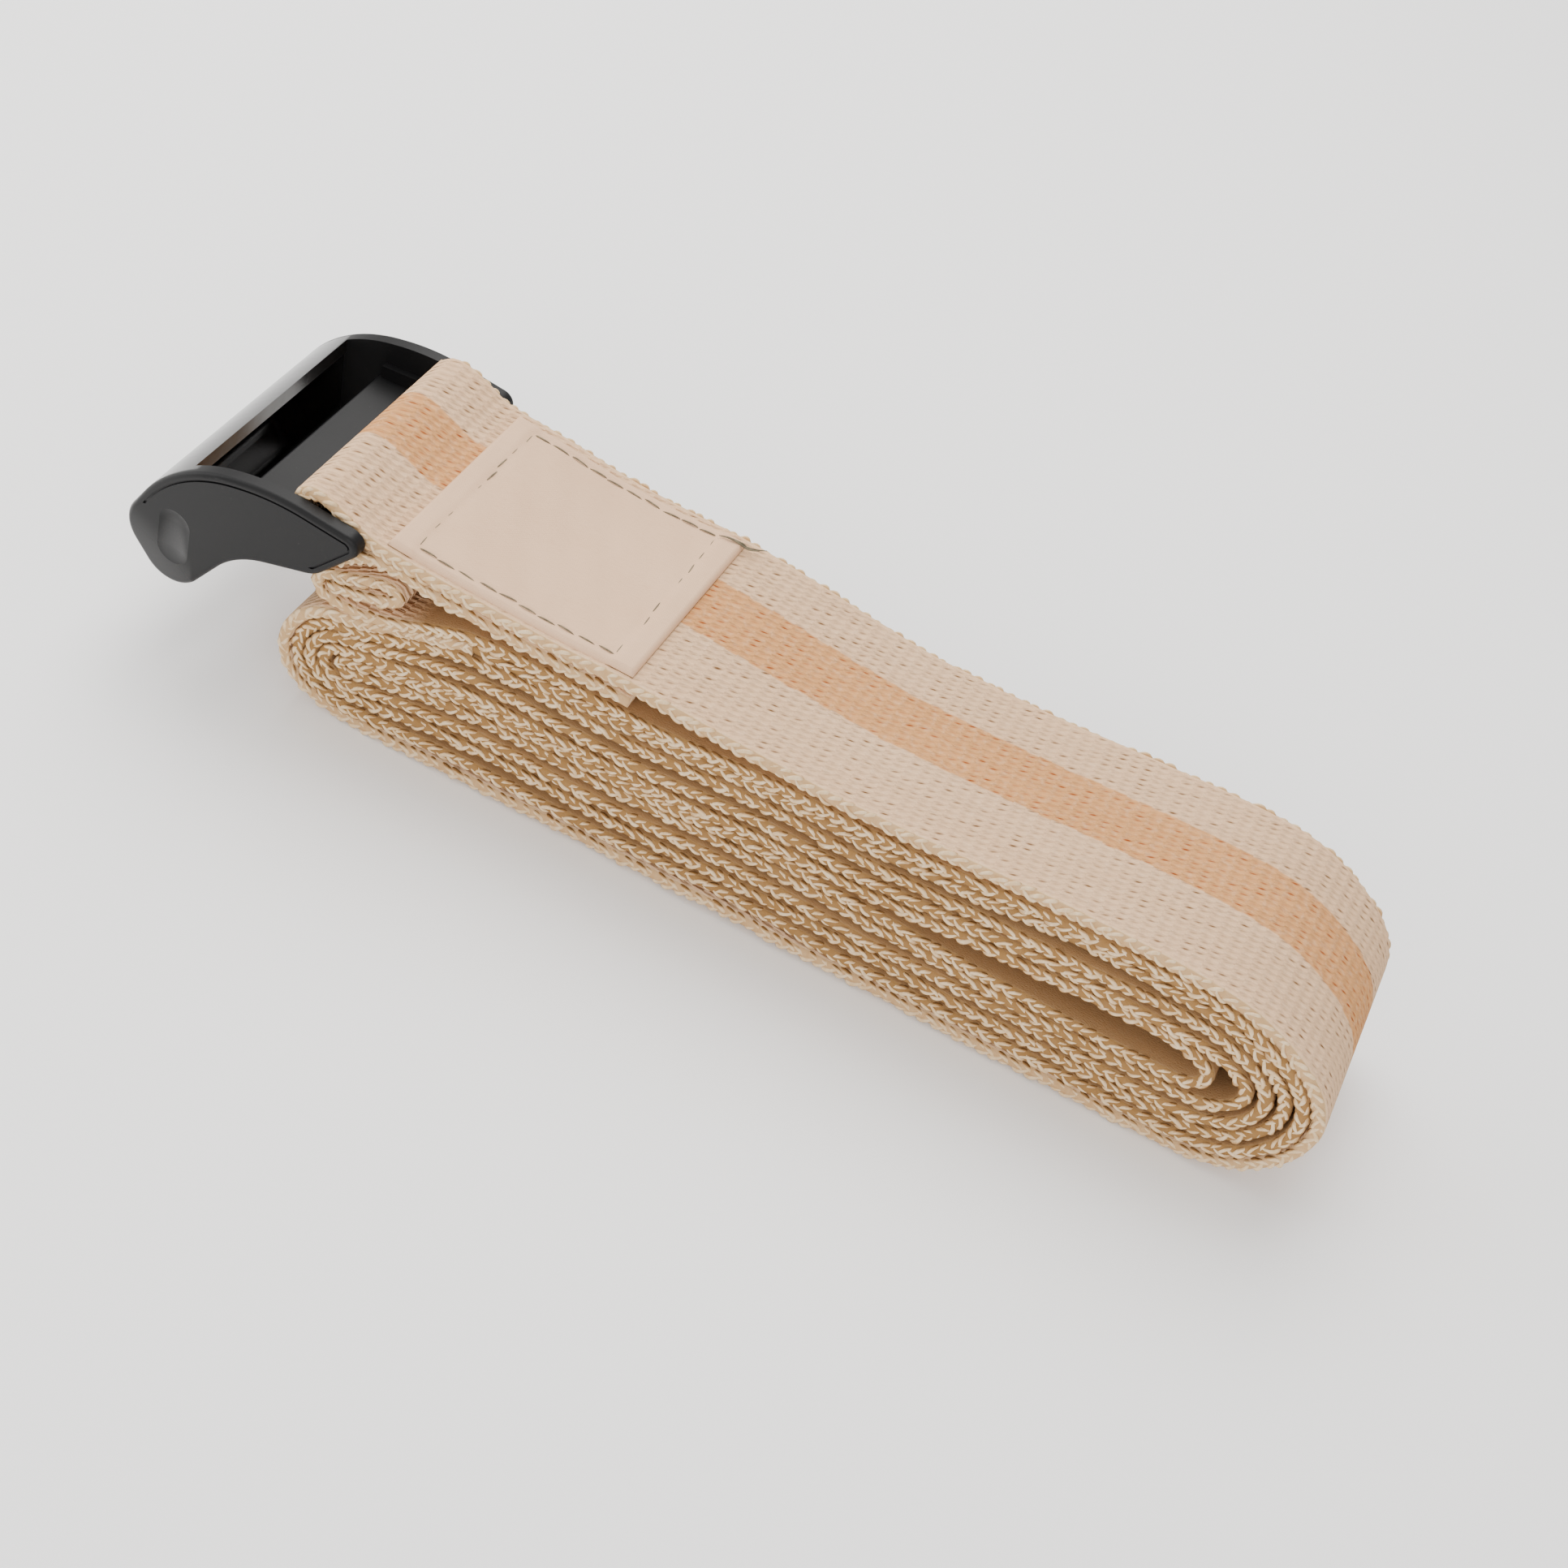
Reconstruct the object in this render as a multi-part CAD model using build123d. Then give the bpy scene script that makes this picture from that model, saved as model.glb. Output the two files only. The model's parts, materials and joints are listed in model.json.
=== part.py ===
"""Stretching strap: a long cotton webbing, folded double and rolled into a flat bundle, with a
cinch buckle held in a sewn loop at one end, a sewn label and a hemmed free end.

Millimetres, +Z up. The bundle lies on Z = 0 with its length along X and its width along Y.
The buckle end points to -X. The finished model is moved so that the origin is the centre of
the bottom of its bounding box.
"""
from build123d import *
import math
import os

# ---- driving dimensions ------------------------------------------------------------------
strap_width = 38.0           # 1.5 inch webbing
strap_thickness = 2.3
half_width = strap_width / 2
half_thickness = strap_thickness / 2

strand_count = 12            # layers through the bundle, counted 0 (top) to 11 (bottom)
turn_left_x = -80.4          # where the left turns start
turn_right_x = 65.5          # where the right turns start
# along the bundle: position, layer pitch there, and height of the gap inside the innermost turn
bundle_stations = [(turn_left_x, 2.45, 0.0), (-60.0, 2.80, 0.0), (-36.0, 2.85, 0.0),
                   (25.0, 2.75, 3.0), (turn_right_x, 2.75, 3.0)]
gap_above_strand = 6         # the inner gap lies between strands 5 and 6

tab_roll = 3.6               # the sewn end lies tilted, its far side higher (degrees)
tab_yaw = -1.9               # and is turned a little about the vertical (degrees)
tab_end_x = -36.0            # where the turned-back layer ends
tab_hinge_z = 38.0           # height of the line that the sewn end is tilted about
tab_offset_y = -2.1
tab_centre = [(-36.0, 37.1), (-60.0, 38.6), (-77.0, 41.0)]    # upper layer of the sewn end
tab_layer_pitch = 2.4

pivot_x, pivot_z = -85.5, 38.5    # centre of the buckle's rear bar, in the tab's frame
rear_bar_radius = 2.3
loop_radius = 4.9            # centreline of the bends of the webbing loop round the rear bar
loop_top_z, loop_bottom_z = 40.5, 37.8    # centres of the loop's upper and lower bends

top_run_end_x = -5.0         # where the top strand starts to rise towards the sewn end

hem_right_x = -73.0          # the free end is folded over twice
hem_turn_x = -80.5
hem_height = 6.2             # three layers, pressed together
hem_end_rise = 1.0           # the hem's inner end follows the strand below it up by this

cheek_inner = 19.6           # half the space between the buckle's cheeks
cheek_outer = 22.0
cheek_edge_radius = 0.8
shell_thickness = 2.2
groove_inset = 1.1           # moulded line round the outer face of each cheek
groove_width = 0.35
groove_depth = 0.3
groove_region = [(-119.0, 27.0), (-77.0, 34.0), (-70.0, 60.0), (-125.0, 60.0)]
dimple_low, dimple_high = (-110.6, 21.0), (-110.2, 26.5)   # ends of the dimple on each cheek
dimple_radius = 9.0
dimple_depth = 0.45
# side outline of the buckle: the corners of straight runs, each with the radius that rounds it
buckle_corners = [((-75.8, 42.0), 2.2), ((-93.1, 43.5), 36.0), ((-110.5, 39.2), 26.0),
                  ((-120.5, 22.3), 6.4), ((-111.0, 10.1), 5.5), ((-99.3, 26.4), 17.6),
                  ((-85.0, 31.2), 6.0)]
shell_region = [(-125.0, 5.0), (-106.8, 5.0), (-106.8, 23.0), (-108.2, 31.0), (-108.2, 50.0),
                (-125.0, 50.0)]
locking_bar_section = [(-101.2, 35.3), (-93.4, 36.0), (-92.6, 33.6), (-99.0, 31.6), (-101.9, 33.0)]
locking_bar_edge_radius = 0.5
gusset_height = 2.4
gusset_width = 1.2
gusset_inset = 0.6           # shorter than the bar's top by this at each end

label_left_x, label_right_x = -75.6, -36.4
label_width = 34.8
label_offset = -0.9
label_thickness = 0.8
stitch_pitch = 3.3
stitch_length = 2.3
stitch_width = 0.5
stitch_height = 0.35
seam_inset_long = 1.8        # seam's distance from the label's long sides
seam_inset_short = 3.8
hem_seam_x = -76.0
hem_seam_margin = 2.0
clearance = 0.02
stitch_clearance = 0.15      # stitches stand this far off the sloping webbing
overlap = 0.5                # how far joined shapes run into each other
margin = 10.0                # how far cutting shapes reach beyond what they cut


# ---- the rolled bundle: layer heights and turns --------------------------------------------
def strand_height(strand, station):
    """Height of a strand's middle at one station of the bundle."""
    _, pitch, gap = station
    height = half_thickness + (strand_count - 1 - strand) * pitch
    return height + gap if strand < gap_above_strand else height


def strand_line(strand, stations):
    return [(station[0], strand_height(strand, station)) for station in stations]


def run_faces(points, lower=-half_thickness, upper=half_thickness):
    """A strip along points, its edges set off vertically, one four-sided face per stretch."""
    faces = []
    for (x0, z0), (x1, z1) in zip(points, points[1:]):
        corners = [(x0, z0 + lower), (x1, z1 + lower), (x1, z1 + upper), (x0, z0 + upper)]
        faces.append(make_face(Polyline(*corners, close=True)))
    return faces


def ring_sector(centre, inner, outer, start, sweep):
    """Part of a flat ring, from angle start (degrees) through sweep."""
    middle = start + sweep / 2

    def at(radius, angle):
        turn = math.radians(angle)
        return (centre[0] + radius * math.cos(turn), centre[1] + radius * math.sin(turn))
    outer_arc = ThreePointArc(at(outer, start), at(outer, middle), at(outer, start + sweep))
    if inner <= 0:
        to_centre = Polyline(at(outer, start + sweep), centre, at(outer, start))
        return make_face(Curve() + outer_arc + to_centre)
    inner_arc = ThreePointArc(at(inner, start + sweep), at(inner, middle), at(inner, start))
    side_a = Line(at(outer, start + sweep), at(inner, start + sweep))
    side_b = Line(at(inner, start), at(outer, start))
    return make_face(Curve() + outer_arc + side_a + inner_arc + side_b)


def turn_face(upper_strand, lower_strand, right):
    """The half turn that joins two strands at one end of the bundle."""
    station = bundle_stations[-1] if right else bundle_stations[0]
    upper = strand_height(upper_strand, station)
    lower = strand_height(lower_strand, station)
    radius = (upper - lower) / 2
    inner = radius - half_thickness
    inner = inner if inner > 0.1 else 0
    start = -90 if right else 90
    return ring_sector((station[0], (upper + lower) / 2), inner, radius + half_thickness, start, 180)


def bundle_faces():
    faces = []
    for strand in range(1, strand_count):
        faces += run_faces(strand_line(strand, bundle_stations))
    top_stations = [(top_run_end_x, *bundle_stations[-1][1:]), bundle_stations[-1]]
    top_line = [tab_centre[0]] + strand_line(0, top_stations)
    faces += run_faces(top_line)
    faces += [turn_face(strand, strand_count - 1 - strand, True) for strand in range(6)]
    faces += [turn_face(strand, strand_count + 1 - strand, False) for strand in range(2, 7)]
    return faces


def hem_faces():
    """The free end, folded over twice on top of strand 1."""
    bottom = strand_height(1, bundle_stations[0]) - half_thickness
    height = hem_height
    middle = bottom + height / 2
    nose_radius = strap_thickness
    block = [(hem_turn_x, bottom), (hem_right_x, bottom + hem_end_rise), (hem_right_x, bottom + height),
             (hem_turn_x, bottom + height)]
    fold = ring_sector((hem_turn_x, middle), 0, height / 2, 90, 180)
    nose = ring_sector((hem_right_x, bottom + height - nose_radius), 0, nose_radius, -90, 180)
    return [make_face(Polyline(*block, close=True)), fold, nose]


# ---- the sewn end: upper layer, loop round the rear bar, turned-back layer -------------------
def tangent_angle(point, bend_z, upper):
    """Angle on a bend's centreline where a straight run from point touches it."""
    dx, dz = point[0] - pivot_x, point[1] - bend_z
    distance = math.hypot(dx, dz)
    bearing = math.degrees(math.atan2(dz, dx))
    opening = math.degrees(math.acos(loop_radius / distance))
    return bearing + opening if upper else bearing - opening


def loop_leg_face(point, bend_z, angle):
    """Straight webbing from the sewn end to where it meets a bend of the loop."""
    turn = math.radians(angle)
    inner, outer = loop_radius - half_thickness, loop_radius + half_thickness
    on_inner = (pivot_x + inner * math.cos(turn), bend_z + inner * math.sin(turn))
    on_outer = (pivot_x + outer * math.cos(turn), bend_z + outer * math.sin(turn))
    away = half_thickness if math.sin(turn) > 0 else -half_thickness
    near_loop_side = (point[0], point[1] - away)
    far_side = (point[0], point[1] + away)
    return make_face(Polyline(on_inner, near_loop_side, far_side, on_outer, close=True))


def tab_faces():
    lower_centre = [(x, z - tab_layer_pitch) for x, z in tab_centre]
    upper_angle = tangent_angle(tab_centre[-1], loop_top_z, True)
    lower_angle = tangent_angle(lower_centre[-1], loop_bottom_z, False)
    inner, outer = loop_radius - half_thickness, loop_radius + half_thickness
    nose = [(pivot_x - outer, loop_bottom_z), (pivot_x - inner, loop_bottom_z),
            (pivot_x - inner, loop_top_z), (pivot_x - outer, loop_top_z)]
    faces = run_faces(tab_centre) + run_faces(lower_centre)
    faces.append(loop_leg_face(tab_centre[-1], loop_top_z, upper_angle))
    faces.append(loop_leg_face(lower_centre[-1], loop_bottom_z, lower_angle))
    faces.append(ring_sector((pivot_x, loop_top_z), inner, outer, upper_angle, 180 - upper_angle))
    faces.append(make_face(Polyline(*nose, close=True)))
    faces.append(ring_sector((pivot_x, loop_bottom_z), inner, outer, 180, 180 + lower_angle))
    seam = tab_layer_pitch - strap_thickness
    faces += run_faces([(x, z - half_thickness - seam / 2) for x, z in tab_centre], -seam, seam)
    return faces


# ---- helpers that stand a flat section up across the strap -----------------------------------
def across(faces, low, high):
    """Extrude XZ sections from Y = low to Y = high and join them."""
    plane = Plane(origin=(0, high, 0), x_dir=(1, 0, 0), z_dir=(0, -1, 0))
    solids = [extrude(plane * face, amount=high - low) for face in faces]
    return solids[0].fuse(*solids[1:]) if len(solids) > 1 else solids[0]


def place_tab(shape):
    """Tilt and turn something built in the tab's frame into its place."""
    hinge = Vector(tab_end_x, 0, tab_hinge_z)
    shape = shape.moved(Location(-hinge))
    shape = Rot(X=tab_roll) * shape
    shape = Rot(Z=tab_yaw) * shape
    return shape.moved(Location(hinge + Vector(0, tab_offset_y, 0)))


# ---- pieces ----------------------------------------------------------------------------------
def make_webbing():
    coil = across(bundle_faces() + hem_faces(), -half_width, half_width)
    tab = place_tab(across(tab_faces(), -half_width, half_width))
    return coil.fuse(tab).solid()


def buckle_profile():
    corners = [corner for corner, _ in buckle_corners]
    radii = [radius for _, radius in buckle_corners]
    return make_face(FilletPolyline(*corners, radius=radii, close=True))


def make_buckle_block():
    """The buckle's outer shape, cheek to cheek, with rounded edges, lines and dimples."""
    block = across([buckle_profile()], -cheek_outer, cheek_outer)
    ends = block.faces().sort_by(Axis.Y)
    block = fillet(ends[0].edges() + ends[-1].edges(), cheek_edge_radius)
    ring_outer = offset(buckle_profile(), -groove_inset)
    ring_inner = offset(buckle_profile(), -groove_inset - groove_width)
    ring = (ring_outer - ring_inner) & make_face(Polyline(*groove_region, close=True))
    ring = ring.face()
    block -= across([ring], -cheek_outer - margin, -cheek_outer + groove_depth)
    block -= across([ring], cheek_outer - groove_depth, cheek_outer + margin)
    for side in (-1, 1):
        block -= make_dimple(side * (cheek_outer + dimple_radius - dimple_depth))
    return block


def make_dimple(y):
    """A capsule that dips into a cheek's outer face."""
    low, high = [Vector(x, y, z) for x, z in (dimple_low, dimple_high)]
    run = high - low
    rod = Plane(origin=low, z_dir=run) * extrude(Circle(dimple_radius), amount=run.length)
    ends = [Pos(*end) * Sphere(dimple_radius) for end in (low, high)]
    return rod.fuse(*ends)


def make_inner_space():
    """All that is open between the cheeks: everything but the front shell and the two bars."""
    x_values = [x for (x, _), _ in buckle_corners]
    z_values = [z for (_, z), _ in buckle_corners]
    low = (min(x_values) - margin, min(z_values) - margin)
    high = (max(x_values) + margin, max(z_values) + margin)
    space = make_face(Polyline(low, (high[0], low[1]), high, (low[0], high[1]), close=True))
    region = make_face(Polyline(*shell_region, close=True))
    front_shell = region - offset(buckle_profile(), -shell_thickness)
    bar_face = make_face(Polyline(*locking_bar_section, close=True))
    locking_bar = fillet(bar_face.vertices(), locking_bar_edge_radius)
    rear_bar = Pos(pivot_x, pivot_z) * Circle(rear_bar_radius)
    space = space - front_shell - locking_bar - rear_bar
    return across(space.faces(), -cheek_inner, cheek_inner)


def make_gusset(low, high):
    """A raised strip where the locking bar meets a cheek."""
    (x0, z0), (x1, z1) = locking_bar_section[:2]
    x0, x1 = x0 + gusset_inset, x1 - gusset_inset
    strip = Polyline((x0, z0 - overlap), (x1, z1 - overlap), (x1, z1 + gusset_height),
                     (x0, z0 + gusset_height), close=True)
    return across([make_face(strip)], low, high)


def make_buckle():
    body = make_buckle_block() - make_inner_space()
    body += make_gusset(-cheek_inner - overlap, -cheek_inner + gusset_width)
    body += make_gusset(cheek_inner - gusset_width, cheek_inner + overlap)
    return place_tab(body.solid())


def surface_height(x, offset_above):
    """Height above the sewn end's upper layer at x, in the tab's frame."""
    for (x1, z1), (x0, z0) in zip(tab_centre, tab_centre[1:]):
        if x0 <= x <= x1:
            return z0 + (z1 - z0) * (x - x0) / (x1 - x0) + offset_above
    return tab_centre[0][1] + offset_above


def surface_tilt(x):
    """The sewn end's slope at x, as a turn about Y (degrees)."""
    step = 0.5
    rise = surface_height(x + step, 0) - surface_height(x - step, 0)
    return -math.degrees(math.atan2(rise, 2 * step))


def make_label():
    knots = [label_right_x, tab_centre[1][0], label_left_x]
    line = [(x, surface_height(x, half_thickness + clearance)) for x in knots]
    low = label_offset - label_width / 2
    return place_tab(across(run_faces(line, 0, label_thickness), low, low + label_width))


def stitch_row(start, end):
    """Centres of evenly spaced stitches from start to end along one axis."""
    count = max(2, round(abs(end - start) / stitch_pitch))
    return [start + (end - start) * (index + 0.5) / count for index in range(count)]


def seam_rectangle(height_at):
    """A stitched rectangle inside the label's edge, one small solid per stitch."""
    left, right = label_left_x + seam_inset_short, label_right_x - seam_inset_short
    near = label_offset - label_width / 2 + seam_inset_long
    far = label_offset + label_width / 2 - seam_inset_long
    stitches = []
    for y in (near, far):
        for x in stitch_row(left, right):
            stitch = Box(stitch_length, stitch_width, stitch_height)
            stitches.append(Pos(x, y, height_at(x)) * Rot(Y=surface_tilt(x)) * stitch)
    for x in (left, right):
        for y in stitch_row(near, far):
            stitch = Box(stitch_width, stitch_length, stitch_height)
            stitches.append(Pos(x, y, height_at(x)) * Rot(Y=surface_tilt(x)) * stitch)
    return Compound([place_tab(stitch).solid() for stitch in stitches])


def make_label_needle_thread():
    above = half_thickness + label_thickness + stitch_height / 2 + stitch_clearance
    return seam_rectangle(lambda x: surface_height(x, above))


def make_label_bobbin_thread():
    below = -half_thickness - tab_layer_pitch - stitch_height / 2 - stitch_clearance
    return seam_rectangle(lambda x: surface_height(x, below))


def make_hem_thread():
    top = strand_height(1, bundle_stations[0]) - half_thickness + hem_height
    row_end = half_width - hem_seam_margin
    stitches = []
    for y in stitch_row(-row_end, row_end):
        stitch = Box(stitch_width, stitch_length, stitch_height)
        stitches.append(Pos(hem_seam_x, y, top + stitch_height / 2 + clearance) * stitch)
    return Compound([stitch.solid() for stitch in stitches])


# ---- assembly --------------------------------------------------------------------------------
def main():
    parts = {"webbing": make_webbing(), "buckle": make_buckle(), "label": make_label(),
             "label_needle_thread": make_label_needle_thread(),
             "label_bobbin_thread": make_label_bobbin_thread(),
             "hem_thread": make_hem_thread()}
    box = Compound([solid for shape in parts.values() for solid in shape.solids()]).bounding_box()
    shift = Vector(-(box.min.X + box.max.X) / 2, -(box.min.Y + box.max.Y) / 2, -box.min.Z)
    os.makedirs("parts", exist_ok=True)
    for name, shape in parts.items():
        export_step(shape.moved(Location(shift)), f"parts/{name}.step")
    pivot = place_tab(Vertex(pivot_x, 0, pivot_z)).center() + shift
    ahead = place_tab(Vertex(pivot_x, 1, pivot_z)).center() + shift
    print("shift to the origin", shift)
    print("buckle pivot", pivot, "axis", ahead - pivot)
    webbing_volume = parts["webbing"].volume
    print("webbing length", round(webbing_volume / strap_width / strap_thickness, 1))


main()
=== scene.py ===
"""The looks of the stretching strap: webbing, buckle finish, label and sewing thread.

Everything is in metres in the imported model's frame. Profiles are written in millimetres in the
part's own drawing frame and moved by the shift between the two, which the buckle's hinge gives.
"""

import json
import math

import bpy
import numpy as np
from mathutils import Matrix, Vector


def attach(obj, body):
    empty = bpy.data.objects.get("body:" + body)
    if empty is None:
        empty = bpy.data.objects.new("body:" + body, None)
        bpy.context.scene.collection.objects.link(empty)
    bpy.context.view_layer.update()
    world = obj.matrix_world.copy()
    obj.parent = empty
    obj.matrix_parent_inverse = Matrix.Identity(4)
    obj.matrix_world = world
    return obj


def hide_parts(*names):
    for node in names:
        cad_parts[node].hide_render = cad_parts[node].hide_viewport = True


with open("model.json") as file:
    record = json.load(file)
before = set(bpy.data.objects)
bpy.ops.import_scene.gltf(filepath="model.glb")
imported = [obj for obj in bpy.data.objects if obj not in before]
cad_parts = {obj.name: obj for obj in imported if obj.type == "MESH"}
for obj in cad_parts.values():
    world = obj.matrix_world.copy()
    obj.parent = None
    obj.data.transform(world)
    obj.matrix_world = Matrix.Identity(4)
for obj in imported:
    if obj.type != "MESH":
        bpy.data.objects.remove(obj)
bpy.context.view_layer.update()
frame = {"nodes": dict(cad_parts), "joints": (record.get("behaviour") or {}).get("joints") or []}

MM = 0.001
DRAWN_HINGE = np.array([-85.474, -0.490, 38.499])     # the buckle's hinge in the drawing frame
SHIFT = np.array(frame["joints"][0]["pos_m"]) / MM - DRAWN_HINGE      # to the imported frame
HALF_WIDTH = 19.0
THICKNESS = 2.25
FACE_HALF = 18.25                            # half the width of the flat face between the edges
EDGE_ROUND = HALF_WIDTH - FACE_HALF
EDGE_REACH = 19.2                            # no edge loop reaches further across than this
RELIEF = 0.022                               # height of the rib at each stitch
LOOP_LENGTH = 120.0                          # webbing in the sewn loop that holds the buckle
HEM_LENGTH = 44.0                            # webbing in the rolled hem
STITCH = 2.03                                # length of one stitch along the webbing


# ---- camera, light, floor ---------------------------------------------------------------------
CAMERA_PLACE = (58.774, -252.725, 264.411)
CAMERA_ANGLES = (44.189, 11.747, 18.651)     # elevation, azimuth and roll, degrees
CAMERA_LENS = 52.69
SENSOR = 36.0
WORLD_STRENGTH = 0.8
FLOOR_HALF = 3.0
FLOOR_DROP = 0.0002                          # the floor lies this far under the webbing


def add_camera():
    elevation, azimuth, roll = (math.radians(angle) for angle in CAMERA_ANGLES)
    place = Vector(CAMERA_PLACE) * MM
    level = math.cos(elevation)
    ahead = Vector((-math.sin(azimuth) * level, math.cos(azimuth) * level, -math.sin(elevation)))
    right = Vector((math.cos(azimuth), math.sin(azimuth), 0))
    up = right.cross(ahead)
    tilted_right = math.cos(roll) * right + math.sin(roll) * up
    tilted_up = math.cos(roll) * up - math.sin(roll) * right
    data = bpy.data.cameras.new("camera")
    data.sensor_width = SENSOR
    data.lens = CAMERA_LENS
    data.clip_start = 0.01
    camera = bpy.data.objects.new("camera", data)
    bpy.context.collection.objects.link(camera)
    turn = Matrix((tilted_right, tilted_up, -ahead)).transposed()
    camera.matrix_world = Matrix.Translation(place) @ turn.to_4x4()
    bpy.context.scene.camera = camera


def add_light(name, place, size, power, colour=(1, 1, 1)):
    data = bpy.data.lights.new(name, "AREA")
    data.shape = "RECTANGLE"
    data.size, data.size_y = size
    data.energy = power
    data.color = colour
    light = bpy.data.objects.new(name, data)
    bpy.context.collection.objects.link(light)
    light.location = place
    aim = Vector((0, 0, 0.02)) - light.location
    light.rotation_euler = aim.to_track_quat("-Z", "Y").to_euler()


def add_studio():
    add_light("key", (-0.25, 0.35, 0.75), (0.8, 0.8), 11.5, (1.0, 0.985, 0.965))
    add_light("front", (0.15, -0.75, 0.45), (0.9, 0.5), 5.0, (1.0, 0.98, 0.96))
    add_light("side", (-0.8, -0.1, 0.35), (0.5, 0.7), 2.6)
    world = bpy.data.worlds.new("studio")
    world.use_nodes = True
    world.node_tree.nodes["Background"].inputs["Color"].default_value = (1.0, 0.985, 0.97, 1)
    world.node_tree.nodes["Background"].inputs["Strength"].default_value = WORLD_STRENGTH
    bpy.context.scene.world = world
    mesh = bpy.data.meshes.new("floor")
    corners = [(FLOOR_HALF * x, FLOOR_HALF * y, 0) for x, y in ((-1, -1), (1, -1), (1, 1), (-1, 1))]
    mesh.from_pydata(corners, [], [(0, 1, 2, 3)])
    floor = bpy.data.objects.new("floor", mesh)
    floor.location.z = -FLOOR_DROP
    bpy.context.collection.objects.link(floor)
    paint = bpy.data.materials.new("floor_paint")
    paint.use_nodes = True
    shader = paint.node_tree.nodes["Principled BSDF"]
    shader.inputs["Base Color"].default_value = (0.96, 0.96, 0.96, 1)
    shader.inputs["Roughness"].default_value = 0.8
    mesh.materials.append(paint)


# ---- mesh helpers ------------------------------------------------------------------------------
def grid_faces(rows, columns, closed_columns=True, start=0):
    """Quads over a rows x columns grid of vertices."""
    column_count = columns if closed_columns else columns - 1
    i, j = np.meshgrid(np.arange(rows - 1), np.arange(column_count), indexing="ij")
    i2, j2 = i + 1, (j + 1) % columns
    quads = np.stack([i * columns + j, i * columns + j2, i2 * columns + j2, i2 * columns + j], -1)
    return quads.reshape(-1, 4) + start


def build_object(name, vertices, quads, extra_faces=(), attributes=None):
    """A mesh object from vertices in millimetres in the drawing frame."""
    placed = (np.asarray(vertices) + SHIFT) * MM
    mesh = bpy.data.meshes.new(name)
    mesh.from_pydata(placed.tolist(), [], quads.tolist() + [list(face) for face in extra_faces])
    for key, values in (attributes or {}).items():
        layer = mesh.attributes.new(key, "FLOAT", "POINT")
        layer.data.foreach_set("value", np.asarray(values, dtype=np.float32))
    mesh.polygons.foreach_set("use_smooth", [True] * len(mesh.polygons))
    mesh.update()
    obj = bpy.data.objects.new(name, mesh)
    bpy.context.collection.objects.link(obj)
    return obj


def catmull(points, per_span=16):
    """A smooth curve through rows of numbers; the first two columns are x and z."""
    points = np.asarray(points, float)
    gaps = np.hypot(*np.diff(points[:, :2], axis=0).T)
    knots = np.concatenate([[0], np.cumsum(np.sqrt(np.maximum(gaps, 1e-6)))])
    padded = np.vstack([2 * points[0] - points[1], points, 2 * points[-1] - points[-2]])
    times = np.concatenate([[2 * knots[0] - knots[1]], knots, [2 * knots[-1] - knots[-2]]])
    out = []
    for k in range(1, len(points)):
        p = padded[k - 1:k + 3]
        t = times[k - 1:k + 3]
        u = np.linspace(t[1], t[2], per_span, endpoint=False)[:, None]
        a1 = (t[1] - u) / (t[1] - t[0]) * p[0] + (u - t[0]) / (t[1] - t[0]) * p[1]
        a2 = (t[2] - u) / (t[2] - t[1]) * p[1] + (u - t[1]) / (t[2] - t[1]) * p[2]
        a3 = (t[3] - u) / (t[3] - t[2]) * p[2] + (u - t[2]) / (t[3] - t[2]) * p[3]
        b1 = (t[2] - u) / (t[2] - t[0]) * a1 + (u - t[0]) / (t[2] - t[0]) * a2
        b2 = (t[3] - u) / (t[3] - t[1]) * a2 + (u - t[1]) / (t[3] - t[1]) * a3
        out.append((t[2] - u) / (t[2] - t[1]) * b1 + (u - t[1]) / (t[2] - t[1]) * b2)
    return np.vstack(out + [points[-1:]])


def resample(curve, step):
    """The curve's rows at even steps of arc length, and the arc length at each."""
    lengths = np.concatenate([[0], np.cumsum(np.hypot(*np.diff(curve[:, :2], axis=0).T))])
    count = max(2, int(round(lengths[-1] / step)) + 1)
    at = np.linspace(0, lengths[-1], count)
    return np.stack([np.interp(at, lengths, curve[:, c]) for c in range(curve.shape[1])], 1), at


# ---- the webbing's route -----------------------------------------------------------------------
# Height of each strand's middle at these places along the bundle, strand 1 (top) to 11 (bottom).
STATIONS = [-80.0, -60.0, -30.0, -10.0, 10.0, 40.0, 60.0]
HEIGHTS = {
    1: [24.0, 29.8, 29.8, 30.9, 31.0, 32.6, 32.3], 2: [21.4, 27.5, 27.5, 28.6, 28.2, 30.0, 29.7],
    3: [19.3, 25.2, 25.2, 26.2, 25.5, 26.7, 26.8], 4: [17.2, 22.4, 22.0, 23.2, 22.6, 24.1, 23.9],
    5: [15.1, 18.9, 18.5, 20.0, 20.0, 21.6, 21.4], 6: [12.9, 16.4, 16.2, 17.1, 16.0, 15.0, 15.1],
    7: [10.7, 14.1, 13.9, 14.5, 13.6, 12.6, 12.3], 8: [8.4, 11.6, 11.3, 11.8, 10.9, 10.1, 9.3],
    9: [6.0, 8.2, 7.9, 8.4, 7.7, 7.4, 6.5], 10: [3.6, 4.7, 4.6, 5.2, 4.6, 4.5, 3.9],
    11: [1.2, 1.4, 1.5, 2.0, 1.5, 1.5, 1.3]}
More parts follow.
